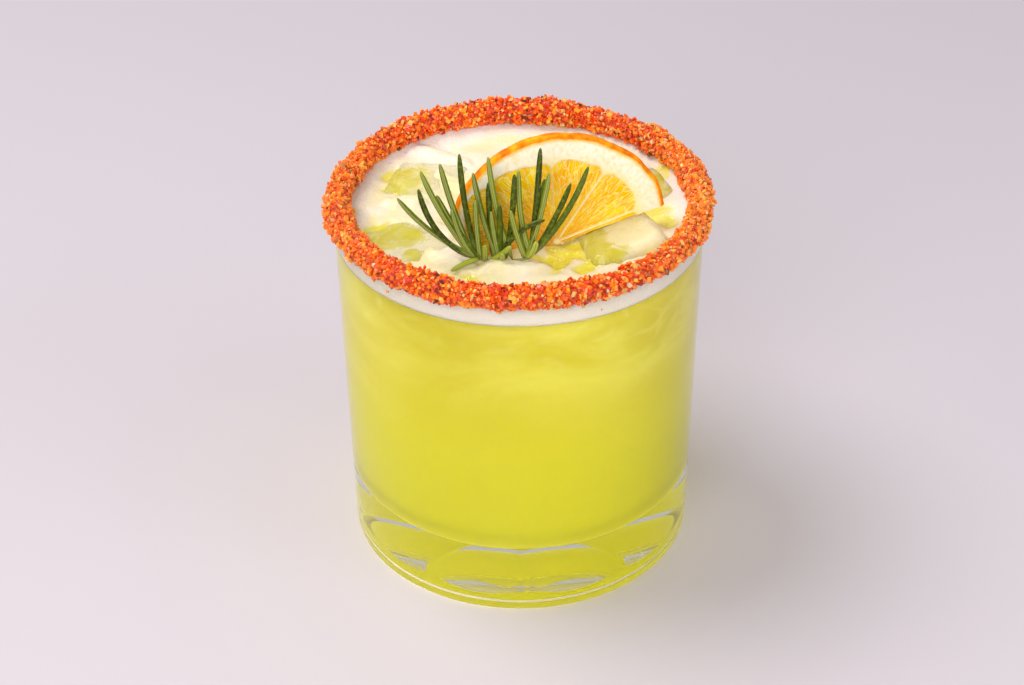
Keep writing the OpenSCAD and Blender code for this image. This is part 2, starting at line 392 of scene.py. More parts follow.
iceSet = {
    "round": 0.16, "waste": 1.0 * mm, "pocketGap": 0.15 * mm, "wallGap": 0.6 * mm,
    "side": 21 * mm, "smallSide": 17 * mm, "rise": 1.8 * mm,
}
foamTop = 88.5 * mm  # the foam's level away from the wall, below the top of its box
# the slice's place is needed here, because one cube leans on its cut edge; lean, turn and tilt in degrees
sliceSet = {
    "radius": 28.4 * mm, "thickness": 2.4 * mm, "cut": 1.0 * mm, "lean": 4.5, "turn": 19.0,
    "tilt": 11.5, "front": 12 * mm, "rise": 1.2 * mm, "gap": 5.6 * mm, "saltThickness": 2.3 * mm,
    "peel": 6.5 * mm, "rind": 1.1 * mm, "segments": 9, "skin": 0.12 * mm, "sink": 0.45 * mm,
    "firstSkin": math.radians(1),
}
sliceX = (rimRadius - wallAcross - sliceSet["saltThickness"] - sliceSet["gap"]
          - sliceSet["radius"] * math.cos(math.radians(sliceSet["turn"]))
          * math.cos(math.radians(sliceSet["tilt"])))
slicePlace = (Matrix.Translation((sliceX, -sliceSet["front"], foamTop + sliceSet["rise"]))
              @ Matrix.Rotation(math.radians(sliceSet["turn"]), 4, "Z")
              @ Matrix.Rotation(math.radians(90 - sliceSet["lean"]), 4, "X")
              @ Matrix.Rotation(math.radians(sliceSet["tilt"]), 4, "Z"))


def floating(x, y, side, turn, tiltX, tiltY):
    # place of a cube that floats a little above the foam, in millimetres and degrees
    return (Matrix.Translation((x * mm, y * mm, foamTop + iceSet["rise"] - side / 2))
            @ Matrix.Rotation(math.radians(turn), 4, "Z")
            @ Matrix.Rotation(math.radians(tiltY), 4, "Y")
            @ Matrix.Rotation(math.radians(tiltX), 4, "X"))


iceCubes = {
    "ice_back_left": (iceSet["side"], floating(-23, 16.5, iceSet["side"], -14, 3, -2)),
    "ice_front_left": (iceSet["side"], floating(-26.5, -11.5, iceSet["side"], 30, -3, 2)),
    "ice_back_right": (iceSet["smallSide"], floating(30, 13, iceSet["smallSide"], 20, -2, -3)),
    "ice_front_right": (iceSet["side"], slicePlace @ Matrix.Translation(
        (sliceSet["radius"] * 0.5, -sliceSet["cut"] - iceSet["side"] / 2, 4 * mm))),
}


def meltedCube(name, shrink=0.0, withFilm=False):
    # a cube with soft edges, a little hollow on its faces, kept inside the glass
    side, matrix = iceCubes[name]
    bm = bmesh.new()
    bmesh.ops.create_cube(bm, size=1.0)
    bmesh.ops.subdivide_edges(bm, edges=bm.edges, cuts=31, use_grid_fill=True)
    corner = iceSet["round"]
    seed = sum(map(ord, name)) % 17
    for vert in bm.verts:
        core = Vector([max(-0.5 + corner, min(0.5 - corner, c)) for c in vert.co])
        off = vert.co - core
        if off.length > 1e-9:
            off = off.normalized() * corner
        vert.co = (core + off) * (side - 2 * shrink)
        waste = 0.5 + 0.5 * noise.noise(vert.co * 90 + Vector((seed, 0, 0)))
        waste += 0.35 * noise.noise(vert.co * 260 + Vector((0, seed, 0)))
        vert.co *= 1 - max(0, waste) * iceSet["waste"] * 2 / side
    bmesh.ops.transform(bm, matrix=matrix, verts=bm.verts)
    for vert in bm.verts:
        limit = inside(max(vert.co.z, floorHeight)) - iceSet["wallGap"] - shrink
        radius = math.hypot(vert.co.x, vert.co.y)
        if radius > limit:
            vert.co.x *= limit / radius
            vert.co.y *= limit / radius
    if withFilm:
        filmLayer = bm.verts.layers.float.new("film")
        for vert in bm.verts:
            vert[filmLayer] = foamAt(vert.co.x, vert.co.y)[1]
    bmesh.ops.recalc_face_normals(bm, faces=bm.faces)
    return bm


wetIce = Finish("wetIce", IOR=1.31, Transmission_Weight=0.25, Subsurface_Weight=0.8,
                Subsurface_Radius=(1.0, 0.95, 0.5), Subsurface_Scale=0.008)
place = wetIce.place()
film = wetIce.attribute("film")
streaks = wetIce.clouds(wetIce.stretch(place, 300, 110, 200), 1.0, 5, 0.62, 1.4)
frost = wetIce.clouds(place, 130, 3, 0.5, 0.8)
veil = wetIce.clouds(place, 170, 5, 0.6, 1.8)
tone = wetIce.blend(frost.smooth(0.35, 0.65), paint(213, 205, 70), paint(224, 217, 116))
tone = wetIce.blend(streaks.smooth(0.5, 0.72) * 0.8, tone, paint(238, 232, 172))
show = (film + (veil - 0.5) * 0.9).smooth(0.1, 0.6)
tone = wetIce.blend(show, paint(241, 232, 190), tone)
wetIce.feed("Base Color", tone)
wetIce.feed("Roughness", 0.3 - 0.26 * show + 0.2 * streaks.smooth(0.45, 0.7))
wetIce.feed("Normal", wetIce.bump(wetIce.clouds(place, 380, 3) + frost * 2, 0.0008, 0.6))
wetIce.letLampsThrough()
for nodeName in iceCubes:
    keepPiece(nodeName + "_wet", meltedCube(nodeName, withFilm=True), wetIce, [nodeName])
print("ice made")


def cutPockets(piece):
    # hollows what holds the ice, a little smaller than each cube
    for nodeName in iceCubes:
        mesh = bpy.data.meshes.new("pocket")
        bm = meltedCube(nodeName, iceSet["pocketGap"])
        bm.to_mesh(mesh)
        bm.free()
        cutter = bpy.data.objects.new("pocket", mesh)
        bpy.context.scene.collection.objects.link(cutter)
        pocket = piece.modifiers.new("pocket", "BOOLEAN")
        pocket.operation = "DIFFERENCE"
        pocket.solver = "EXACT"
        pocket.object = cutter
        graph = bpy.context.evaluated_depsgraph_get()
        done = bpy.data.meshes.new_from_object(piece.evaluated_get(graph))
        piece.modifiers.clear()
        piece.data = done
        bpy.data.objects.remove(cutter)


# ---- drink

drinkSet = {"reach": 0.15 * mm, "steps": 160}


def buildDrink(finish):
    s = drinkSet
    top = drinkHigh.z
    level = floorHeight + glassSet["corner"]
    low = floorHeight - s["reach"]
    outline = line((0, low), (cornerArc(s["reach"], 1)[-1][0], low), 8)
    outline += cornerArc(s["reach"], 12)[::-1]
    outline += line((inside(level + mm, s["reach"]), level + mm), (inside(top, s["reach"]), top), 14)
    outline += line((inside(top, s["reach"]), top), (0, top), 16) + [(0, top)]
    piece = keepPiece("drink_cloudy", turned(outline, s["steps"]), finish, ["drink"])
    cutPockets(piece)


# the emission strength here drives the painted glow at the drink's foot, below
cloudyDrink = Finish("cloudyDrink", Roughness=0.25, IOR=1.34, Specular_IOR_Level=0.12,
                     Subsurface_Weight=0.6, Subsurface_Radius=(0.9, 0.85, 0.12), Subsurface_Scale=0.012,
                     Emission_Strength=0.34)
place = cloudyDrink.place()
height = cloudyDrink.axis(place, 2) / mm
base = cloudyDrink.ramp(height.smooth(16, 88), (0.0, paint(202, 196, 0)), (0.4, paint(206, 198, 0)),
                        (1.0, paint(203, 189, 22)))
soft = cloudyDrink.clouds(cloudyDrink.stretch(place, 1, 1, 1.7), 30, 4, 0.5, 0.6).smooth(0.42, 0.7)
wisps = cloudyDrink.clouds(cloudyDrink.stretch(place, 1, 1, 1.5), 70, 4, 0.6, 0.9).smooth(0.5, 0.75)
upper = height.smooth(42, 76)
base = cloudyDrink.blend(soft * upper * 0.6, base, paint(228, 220, 92))
base = cloudyDrink.blend(wisps * height.smooth(54, 80) * 0.45, base, paint(232, 222, 118))
cloudyDrink.feed("Base Color", base)
foot = 1 - height.smooth(16.6, 24)  # painted glow: the lowest 7.5 mm of the drink gives off yellow light of its own, in place of light gathered at its foot
cloudyDrink.feed("Emission Color", cloudyDrink.blend(foot, (0, 0, 0, 1), paint(240, 232, 0)))
cloudyDrink.letLampsThrough(0.6, (1, 0.93, 0.3, 1))
buildDrink(cloudyDrink)
print("drink made")


# ---- foam

def foamHeight(x, y):
    # the foam's top, with its climb up the wall
    s = foamSet
    edge = foamHigh.z
    wallRadius = inside(edge, s["reach"])
    radius = math.hypot(x, y)
    share = max(0.0, min(1.0, (radius - (wallRadius - s["climbWidth"])) / (s["climbWidth"] - 0.5 * mm)))
    ragged = 1 - 0.12 * (0.5 + 0.5 * lump((x, y, 0), 0.12, 2))
    rise, film = foamAt(x, y)
    inner = 1 - share ** 3
    rise = max(rise, s["puff"] * (1 - film))
    top = foamTop + (edge - foamTop) * share ** 2.2 * ragged + rise * inner
    top += s["lumps"] * lump((x, y, 0), 0.14, 5) * inner * (1 - film)
    top += s["grain"] * max(0, lump((x, y, 0), 0.8, 9)) * inner * (1 - film) - 0.3 * mm * film * inner
    return top, film


def buildFoam(finish):
    s = foamSet
    low = drinkHigh.z - 0.1 * mm
    edge = foamHigh.z
    wallRadius = inside(edge, s["reach"])
    outline = line((0, low), (inside(low, s["reach"]), low), 12)
    outline += line((inside(low, s["reach"]), low), (wallRadius, edge), 8)
    outline += line((wallRadius, edge), (wallRadius - 0.5 * mm, edge), 1)
    outline += line((wallRadius - 0.5 * mm, edge), (0, edge), s["rings"]) + [(0, edge)]
    bm = turned(outline, s["steps"])
    filmLayer = bm.verts.layers.float.new("film")
    for vert in bm.verts:
        if vert.co.z < edge - 1e-6:
            continue
        top, film = foamHeight(vert.co.x, vert.co.y)
        vert.co.z = min(top, edge) if math.hypot(vert.co.x, vert.co.y) > wallRadius - 6 * mm else top
        vert[filmLayer] = film
    bmesh.ops.recalc_face_normals(bm, faces=bm.faces)
    cutPockets(keepPiece("foam_layer", bm, finish, ["foam"]))


def buildBubbles(finish):
    # small bubbles that sit in the foam, most of them where it is thin
    bm = bmesh.new()
    made = 0
    while made < foamSet["bubbles"]:
        x, y = rnd.uniform(-39, 39) * mm, rnd.uniform(-39, 39) * mm
        if math.hypot(x, y) > 38.5 * mm:
            continue
        top, film = foamHeight(x, y)
        if film < rnd.uniform(0.0, 0.5):
            continue
        size = rnd.uniform(0.2, 0.5) ** 1.5 * 1.6 * mm
        bmesh.ops.create_icosphere(bm, subdivisions=1, radius=size,
                                   matrix=Matrix.Translation((x, y, top - size * 0.1)))
        made += 1
    return keepPiece("foam_bubbles", bm, finish)


creamyFoam = Finish("creamyFoam", Subsurface_Weight=0.35, IOR=1.34,
                    Subsurface_Radius=(1.0, 0.9, 0.5), Subsurface_Scale=0.002, Coat_Roughness=0.08)
place = creamyFoam.place()
level = creamyFoam.add("ShaderNodeVectorMath", {"operation": "MULTIPLY"}, {0: place, 1: (1, 1, 0)})
out = creamyFoam.add("ShaderNodeVectorMath", {"operation": "LENGTH"}, {0: level}, out=1) / mm
film = creamyFoam.attribute("film")
drift = creamyFoam.clouds(place, 55, 4, 0.55, 1.2)
veil = creamyFoam.clouds(place, 170, 5, 0.6, 1.8)
tone = creamyFoam.blend(drift.smooth(0.35, 0.65), paint(231, 220, 168), paint(231, 222, 198))
tone = creamyFoam.blend(out.smooth(35, 41) * 0.8, tone, paint(226, 217, 214))
show = (film + (veil - 0.5) * 0.9).smooth(0.28, 0.72)
wetTone = creamyFoam.blend(veil.smooth(0.4, 0.65), paint(220, 211, 48), paint(232, 222, 104))
tone = creamyFoam.blend(show, tone, wetTone)
creamyFoam.feed("Base Color", tone)
creamyFoam.feed("Roughness", 0.42 - 0.3 * show)
creamyFoam.feed("Coat Weight", 0.1 + 0.5 * show)
froth = creamyFoam.cells(place, 1300)
fine = creamyFoam.clouds(place, 800, 3)
creamyFoam.feed("Normal", creamyFoam.bump((froth * 0.6 + fine) * (1 - show * 0.7), 0.0002, 0.7))
creamyFoam.letLampsThrough(0.35, (1, 0.97, 0.85, 1))
buildFoam(creamyFoam)
bubbleSkin = Finish("bubbleSkin", Base_Color=paint(240, 232, 180), Roughness=0.04, IOR=1.12,
                    Transmission_Weight=0.85, Coat_Weight=0.6, Coat_Roughness=0.03)
place = bubbleSkin.place()
bubbleSkin.feed("Base Color", bubbleSkin.blend(bubbleSkin.clouds(place, 150, 2), paint(236, 226, 150),
                                               paint(250, 244, 214)))
bubbleSkin.letLampsThrough()
buildBubbles(bubbleSkin)
print("foam made")


# ---- dried orange slice

def sliceShape(turn):
    # the dried wheel isn't quite round: flatter at its upper right, drawn in at its left end
    degrees = math.degrees(turn)
    shape = 1 - 0.034 * math.exp(-((degrees - 48) / 24) ** 2)
    return shape - 0.27 * easeStep((degrees - 132) / 48)


def buildSlice(finish):
    s = sliceSet
    radius, half = s["radius"], s["thickness"] / 2
    flesh = radius - s["peel"]
    cutTurn = math.asin(s["cut"] / radius)
    span = tau / s["segments"]
    bm = bmesh.new()
    bm.loops.layers.uv.new("wheel")
    pulpLayer = bm.verts.layers.float.new("pulp")
    glowLayer = bm.verts.layers.float.new("glow")
    bmesh.ops.create_grid(bm, x_segments=250, y_segments=96, size=0.5, calc_uvs=True)
    for vert in bm.verts:
        around, outward = vert.co.x + 0.5, vert.co.y + 0.5
        outward = 1 - (1 - outward) ** 1.35
        turn = -cutTurn + around * (math.pi + 2 * cutTurn)
        ringPlace = (math.cos(turn) * 9 * mm, math.sin(turn) * 9 * mm, 0)
        bumpy = 1 + 0.012 * lump(ringPlace, 0.5, 3) - 0.009 * max(0, lump(ringPlace, 1.6, 8))
        shape = sliceShape(turn)
        rim = Vector((math.cos(turn), math.sin(turn), 0)) * radius * bumpy * shape * 0.995
        start = Vector(((0.5 - around) * 2.4 * mm, -s["cut"], 0))
        point = start.lerp(rim, outward)
        r, a = point.length, math.atan2(point.y, point.x) % tau
        a = a - tau if a > 1.5 * math.pi else a
        edge = (radius * bumpy * shape - r) / half
        lift = half * (math.sqrt(max(0, 1 - (1 - edge) ** 2)) if edge < 1 else 1)
        skinTurn = abs(((a - s["firstSkin"]) / span + 0.5) % 1 - 0.5)
        toSkin = skinTurn * span * r
        leftward = easeStep((math.degrees(turn) - 85) / 50)  # flesh nears the rind at the left
        notch = 0.085 * (1 - min(1, skinTurn / 0.2)) ** 2
        limit = flesh * shape * (1 - notch + 0.03 * lump(point, 0.3, 5) + 0.2 * leftward)
        pulp = easeStep((limit - r) / (0.9 * mm))
        hiddenSkin = 0.8 * easeStep((math.degrees(turn) - 55) / 30)
        pulp *= max(easeStep((toSkin - s["skin"]) / (0.32 * mm)), hiddenSkin)
        pulp *= easeStep((r - 0.5 * mm) / (0.6 * mm))
        lift -= s["sink"] * (1 + 0.5 * lump(point, 0.2, 4)) * pulp
        sac = noise.noise(Vector((a * 17, r / mm * 0.3, 1.7)))
        lift += 0.17 * mm * sac * pulp
        lift += 0.1 * mm * lump(point, 0.5, 6) * (1 - pulp) * min(1, edge)
        if outward > 0.9999:
            lift = 0
        vert[pulpLayer] = pulp
        # painted glow: a patch left of the wheel's middle, where the flesh is painted deeper orange as if
        # light shone through it
        vert[glowLayer] = math.exp(-((point.x / mm + 9) / 14) ** 2 - (point.y / mm / 13) ** 2)
        if around in (0, 1) or outward < 1e-6:
            point.y += 0.4 * mm * lump(point, 0.16, 11)
        vert.co = (point.x, point.y, lift)
    back = bmesh.ops.duplicate(bm, geom=bm.verts[:] + bm.edges[:] + bm.faces[:])["geom"]
    backVerts = [g for g in back if isinstance(g, bmesh.types.BMVert)]
    backFaces = [g for g in back if isinstance(g, bmesh.types.BMFace)]
    for vert in backVerts:
        vert.co.z *= -1
    bmesh.ops.reverse_faces(bm, faces=backFaces)
    bmesh.ops.remove_doubles(bm, verts=[v for v in bm.verts if abs(v.co.z) < 1e-7], dist=2e-6)
    bmesh.ops.holes_fill(bm, edges=[e for e in bm.edges if e.is_boundary], sides=0)
    bmesh.ops.recalc_face_normals(bm, faces=bm.faces)
    for vert in bm.verts:
        bow = 0.6 * mm * math.sin(vert.co.x / radius * 2.2 + 0.6) * (vert.co.y / radius)
        vert.co.z += bow
    bmesh.ops.translate(bm, vec=(0, 0, 0.3 * mm), verts=bm.verts)
    bmesh.ops.transform(bm, matrix=slicePlace, verts=bm.verts)
    return keepPiece("orange_half_wheel", bm, finish, ["orange_slice"], sharpFrom=60)


driedOrange = Finish("driedOrange", Subsurface_Weight=0.2, IOR=1.35, Specular_IOR_Level=0.15,
                     Subsurface_Radius=(1.0, 0.75, 0.1), Subsurface_Scale=0.003)
wheel = driedOrange.place("UV")
around = driedOrange.axis(wheel, 0)
outward = driedOrange.axis(wheel, 1)
place = driedOrange.place()
pulp = driedOrange.attribute("pulp")
glow = driedOrange.attribute("glow")
wander = driedOrange.clouds(place, 500, 3)
spread = 1 - (1 - outward) ** 1.35
reach = spread + (wander - 0.5) * 0.025
rindStart = 1 - sliceSet["rind"] / sliceSet["radius"] * (1 - 0.5 * around.smooth(0.5, 0.75))
polar = driedOrange.add("ShaderNodeCombineXYZ", inputs={0: around * 64, 1: spread * 9, 2: 0.0})
crooked = driedOrange.add("ShaderNodeVectorMath", {"operation": "ADD"}, {
    0: polar, 1: driedOrange.clouds(place, 300, 2) * 1.6})
sacEdge = driedOrange.cells(crooked, 1.0, "DISTANCE_TO_EDGE")
sacShade = driedOrange.axis(driedOrange.cells(crooked, 1.0, out=1), 0)
fleshTone = driedOrange.ramp(sacShade, (0.0, paint(255, 220, 20)), (0.4, paint(255, 206, 6)),
                             (0.75, paint(255, 190, 0)), (1.0, paint(255, 232, 80)))
deep = driedOrange.clouds(place, 110, 3).smooth(0.48, 0.7)
# deeper orange in random patches, the flesh's own tone, and in the glow patch as painted glow
fleshTone = driedOrange.blend(deep * 0.35 + glow * 0.6, fleshTone, paint(252, 158, 0))
strand = driedOrange.clouds(driedOrange.stretch(polar, 1.5, 0.35, 1), 1.0, 3, 0.6).smooth(0.52, 0.7)
# pale strands and skins fade inside the painted glow patch
fleshTone = driedOrange.blend(strand * 0.6 * (1 - glow), fleshTone, paint(255, 236, 120))
skinLine = (1 - sacEdge.smooth(0.02, 0.11)) * (1 - glow * 0.7)
fleshTone = driedOrange.blend(skinLine * 0.6, fleshTone, paint(255, 240, 150))
pithTone = driedOrange.blend(driedOrange.clouds(place, 900, 4).smooth(0.4, 0.7),
                             paint(254, 246, 222), paint(248, 232, 186))
pithTone = driedOrange.blend(spread.smooth(0.86, 0.72) * 0.6, pithTone, paint(255, 226, 130))
rindTone = driedOrange.ramp(driedOrange.clouds(place, 420, 4), (0.3, paint(204, 96, 0)),
                            (0.5, paint(238, 134, 2)), (0.7, paint(252, 168, 24)))
colour = driedOrange.blend(pulp, pithTone, fleshTone)
colour = driedOrange.blend(reach.smooth(rindStart - 0.035, rindStart + 0.005), colour, paint(252, 196, 84))
colour = driedOrange.blend(reach.smooth(rindStart - 0.005, rindStart + 0.012), colour, rindTone)
driedOrange.feed("Base Color", colour)
driedOrange.feed("Roughness", 0.5 - 0.28 * pulp)
relief = sacEdge.smooth(0.0, 0.2) * pulp + driedOrange.clouds(place, 1400, 3) * 0.35
driedOrange.feed("Normal", driedOrange.bump(relief, 0.0003, 0.5))
driedOrange.letLampsThrough(0.35, (1, 0.8, 0.35, 1))
buildSlice(driedOrange)
print("orange slice made")


# ---- rosemary sprig

sprigSet = {
    "left": 4 * mm, "front": 22.3 * mm, "stemRadius": 1.3 * mm, "stemRise": 2.5 * mm, "stemDepth": 20 * mm,
    "shootLength": 6.5 * mm, "shootRadius": 0.45 * mm, "shootSlope": 10.0,
    "width": 1.42 * mm, "thickness": 1.1 * mm, "around": 14, "along": 18,
}
# tip to the right, behind and above, foot along the side shoots, bow; in millimetres
needleRows = [
    (-24, -1.5, 20, -5, 2.5), (-19, -2.5, 23, -6.8, 4), (-18.5, -0.5, 26.5, -6.5, 1.5),
    (-14, -1.5, 29, -6.5, 1), (-15, 0.5, 19.5, -5.5, 1), (-9.5, -0.5, 31, -5.5, 1.5),
    (-6.5, -0.5, 26, -0.8, 1), (-3, 1.5, 29, 2.5, 1.5), (-3, 2, 22, -2, 0.5),
    (3, 0.5, 25, 0.5, 1), (4, 2, 25, 7, 2), (9, 2, 31, 6.5, 0.5),
    (11, 1.5, 24.5, 5.5, 1), (10, 2.5, 22.5, 6, 0.5), (16, 2, 21.5, 6.5, 1),
    (20, 2, 26, 6, 2.5), (-6, -2.5, 20, -5, 0.5), (-0.5, -0.5, 17.5, -0.5, 0),
    (2, -1.5, 16.5, 5.5, 0.5), (10, -1, 13.5, -1, -3), (-11, -1, 13, -4, 1),
    (-11.5, -1.5, 17, -6, 1.5), (-12, -4, 1.6, -5.5, -1.5), (2, -3.5, 8, -3, 0.5),
    (-4, -3, 8, -4, 0), (8, -1.5, 8, 6, 0.5), (7, 0.5, 8, 5.5, 0.5),
    (0, -3.5, 6, 0, 0), (4.5, 1.5, 13.5, 5, 0), (-2.5, -1, 16, -0.5, 0.5),
]


def addNeedle(bm, row, roll, ageLayer):
    # a flattened rod with a groove along the middle of each face
    s = sprigSet
    slope = math.tan(math.radians(s["shootSlope"]))
    foot = Vector((row[3] * mm, 0, s["stemRadius"] + abs(row[3]) * mm * slope))
    tip = Vector(row[:3]) * mm
    bow = Vector((row[4] if row[0] > row[3] else -row[4], 0, -row[4])) * mm
    turnAt = (foot + tip) / 2 + bow
    made = bmesh.ops.create_grid(bm, x_segments=s["around"], y_segments=s["along"], size=0.5, calc_uvs=True)
    age = rnd.random() if (tip - foot).length > 10 * mm else rnd.uniform(1.1, 1.6)
    for vert in made["verts"]:
        angle, share = (vert.co.x + 0.5) * tau, 1 - max(0, 0.5 - vert.co.y) ** 1.5
        middle = foot.lerp(turnAt, share).lerp(turnAt.lerp(tip, share), share)
        along = ((1 - share) * (turnAt - foot) + share * (tip - turnAt)).normalized()
        side = along.cross(Vector((0.25 * roll, 1, 0.3))).normalized()
        out = side.cross(along)
        size = 0.55 + share * 3 if share < 0.15 else 1.0
        if share > 0.7:
            size = max(0.0, 1 - ((share - 0.7) / 0.3) ** 3.2) ** 0.5 * 0.94 + 0.06
        if share < 1e-6 or share > 1 - 1e-6:
            size = 0.0
        x, z = math.cos(angle), math.sin(angle)
        groove = 0.28 * math.exp(-(x / 0.22) ** 2)
        z = z * (1 - groove)
        vert.co = middle + (side * x * s["width"] / 2 + out * z * s["thickness"] / 2) * size
        vert[ageLayer] = age


def buildSprig(finish):
    s = sprigSet
    bm = bmesh.new()
    bm.loops.layers.uv.new("leaf")
    ageLayer = bm.verts.layers.float.new("age")
    for row in needleRows:
        addNeedle(bm, row, rnd.uniform(-1, 1), ageLayer)
    bmesh.ops.remove_doubles(bm, verts=bm.verts, dist=1e-6)
    bmesh.ops.recalc_face_normals(bm, faces=bm.faces)
    corner = Vector((-s["left"], -s["front"], foamTop))
    bmesh.ops.translate(bm, vec=corner, verts=bm.verts)
    return keepPiece("rosemary_needles", bm, finish, ["rosemary_sprig"])


def buildStem(finish):
    s = sprigSet
    bm = bmesh.new()
    bmesh.ops.create_cone(bm, cap_ends=True, segments=20, radius1=s["stemRadius"],
                          radius2=s["stemRadius"] * 0.8, depth=s["stemDepth"] + s["stemRise"],
                          matrix=Matrix.Translation((0, 0, (s["stemRise"] - s["stemDepth"]) / 2)))
    for side in (-1, 1):
        shoot = (Matrix.Translation((0, 0, s["stemRadius"]))
                 @ Matrix.Rotation(math.radians(side * (90 - s["shootSlope"])), 4, "Y")
                 @ Matrix.Translation((0, 0, s["shootLength"] / 2)))
        bmesh.ops.create_cone(bm, cap_ends=True, segments=14, radius1=s["shootRadius"],
                              radius2=s["shootRadius"] * 0.6, depth=s["shootLength"], matrix=shoot)
    bmesh.ops.subdivide_edges(bm, edges=[e for e in bm.edges if e.calc_length() > 3 * mm], cuts=12)
    for vert in bm.verts:
        vert.co += vert.normal * 0.12 * mm * lump(vert.co, 0.8, 5)
    bmesh.ops.translate(bm, vec=(-s["left"], -s["front"], foamTop), verts=bm.verts)
    return keepPiece("rosemary_stem", bm, finish, sharpFrom=50)


greenNeedle = Finish("greenNeedle", Subsurface_Weight=0.1, Specular_IOR_Level=0.35,
                     Subsurface_Radius=(0.4, 1.0, 0.2), Subsurface_Scale=0.0006)
leaf = greenNeedle.place("UV")
across = greenNeedle.axis(leaf, 0)
along = greenNeedle.axis(leaf, 1)
place = greenNeedle.place()
age = greenNeedle.attribute("age")
mottle = greenNeedle.clouds(place, 1100, 4, 0.6)
green = greenNeedle.ramp(age * 0.6, (0.0, paint(36, 50, 0)), (0.3, paint(74, 94, 0)),
                         (0.6, paint(122, 140, 0)), (0.95, paint(176, 186, 56)))
green = greenNeedle.blend(mottle.smooth(0.45, 0.7) * 0.45, green, paint(140, 156, 20))
top = abs(across - 0.25)
near = top.maths("MINIMUM", top, abs(across - 0.75))  # distance from the middle of a face
rib = 1 - near.smooth(0.012, 0.05)
pale = age.smooth(0.35, 0.6)
green = greenNeedle.blend((1 - near.smooth(0.05, 0.11)) * pale * 0.7, green, paint(178, 186, 110))
green = greenNeedle.blend(rib * 0.6, green, paint(84, 102, 10))
# painted highlight: the needles' edges, away from the middle of either face, are painted a lighter green
edge = near.maths("GREATER_THAN", near, 0.2)
green = greenNeedle.blend(edge * 0.35, green, paint(146, 166, 14))
green = greenNeedle.blend(along.smooth(0.2, 0.0) * 0.5, green, paint(150, 156, 80))
greenNeedle.feed("Base Color", green)
greenNeedle.feed("Roughness", 0.34 + 0.25 * mottle)
greenNeedle.feed("Normal", greenNeedle.bump(greenNeedle.clouds(place, 2600, 2), 0.00012, 0.7))
woodyStem = Finish("woodyStem", Roughness=0.6)
place = woodyStem.place()
woodyStem.feed("Base Color", woodyStem.blend(woodyStem.clouds(place, 700, 3), paint(122, 136, 44),
                                             paint(160, 160, 90)))
woodyStem.feed("Normal", woodyStem.bump(woodyStem.clouds(place, 1500, 2), 0.0002, 0.5))
buildSprig(greenNeedle)
buildStem(woodyStem)
print("rosemary made")


# ---- chilli salt rim

saltSet = {
    "steps": 300, "sides": 30, "thick": 1.6 * mm, "outLow": 92.0 * mm, "inLow": 91.5 * mm,
    "ring": 44, "ringHeight": 94,  # millimetres, where the crust is first spun as a plain ring
    "grains": 12800, "reds": 2800, "crystals": 700, "flecks": 800, "size": 0.45 * mm, "stray": 26,
    # where the crust has rubbed off: direction and half width in degrees, place over the lip from 0 to 1
    "thinSpots": [(-102, 11, 0.6), (-6, 10, 0.42), (-42, 5, 0.55), (158, 6, 0.5)],
}


def onRing(turn, height=0.0):
    return Vector((math.cos(turn), math.sin(turn), 0)) * saltSet["ring"] * mm + Vector((0, 0, height))


def crustThickness(turn, share):
    # how far the crust stands off the lip, thin in places
    around = onRing(turn, share * 9 * mm)
    thick = saltSet["thick"] * (1.0 + 0.35 * lump(around, 0.07, 3) + 0.45 * lump(around, 0.3, 8)
                                + 0.4 * lump(around, 0.75, 9))
    for middle, width, over in saltSet["thinSpots"]:
        off = (math.degrees(turn) - middle + 180) % 360 - 180
        rubbed = easeStep(1.8 * (1 - math.hypot(off / width, (share - over) / 0.16)))
        thick *= 1 - 1.1 * rubbed * (0.7 + 0.6 * lump(around, 0.6, 14))
    return thick


def lipPoint(share, turn, off):
    # share 0 low inside the glass, 1 low outside, over the lip between; off is the distance from it
    ragged = 0.7 * mm * lump(onRing(turn), 0.16, 12) + 0.5 * mm * lump(onRing(turn), 0.6, 13)
    innerRun = lipHeight - saltSet["inLow"] - ragged
    outerRun = lipHeight - saltSet["outLow"] + ragged
    over = math.pi * (lipRadius + 0.6 * mm)
    run = share * (innerRun + over + outerRun)
    if run < innerRun:
        x, z = -lipRadius - off, -(innerRun - run)
    elif run < innerRun + over:
        angle = math.pi * (1 - (run - innerRun) / over)
        x, z = math.cos(angle) * (lipRadius + off), math.sin(angle) * (lipRadius + off)
    else:
        x, z = lipRadius + off, -(run - innerRun - over)
    radius = outside(lipHeight) - lipRadius + x
    return Vector((radius * math.cos(turn), radius * math.sin(turn), lipHeight + z))


def buildCrust(finish):
    s = saltSet
    ringTurns = [i / s["sides"] * tau for i in range(s["sides"])]
    bm = turned([(mm * (s["ring"] + math.cos(t)), mm * (s["ringHeight"] + math.sin(t))) for t in ringTurns],
                s["steps"], closed=True)
    for vert in bm.verts:
        turn = math.atan2(vert.co.y, vert.co.x)
        outward = math.hypot(vert.co.x, vert.co.y) / mm - s["ring"]
        angle = math.atan2(vert.co.z / mm - s["ringHeight"], outward)
        share = ((-math.pi / 2 - angle) % tau) / tau
        taperOff = min(1, share * 9, (1 - share) * 9)
        off = crustThickness(turn, share) * taperOff - 0.12 * mm * (1 - taperOff)
        vert.co = lipPoint(share, turn, off)
    bmesh.ops.recalc_face_normals(bm, faces=bm.faces)
    return keepPiece("salt_crust", bm, finish, ["chilli_salt_rim"])


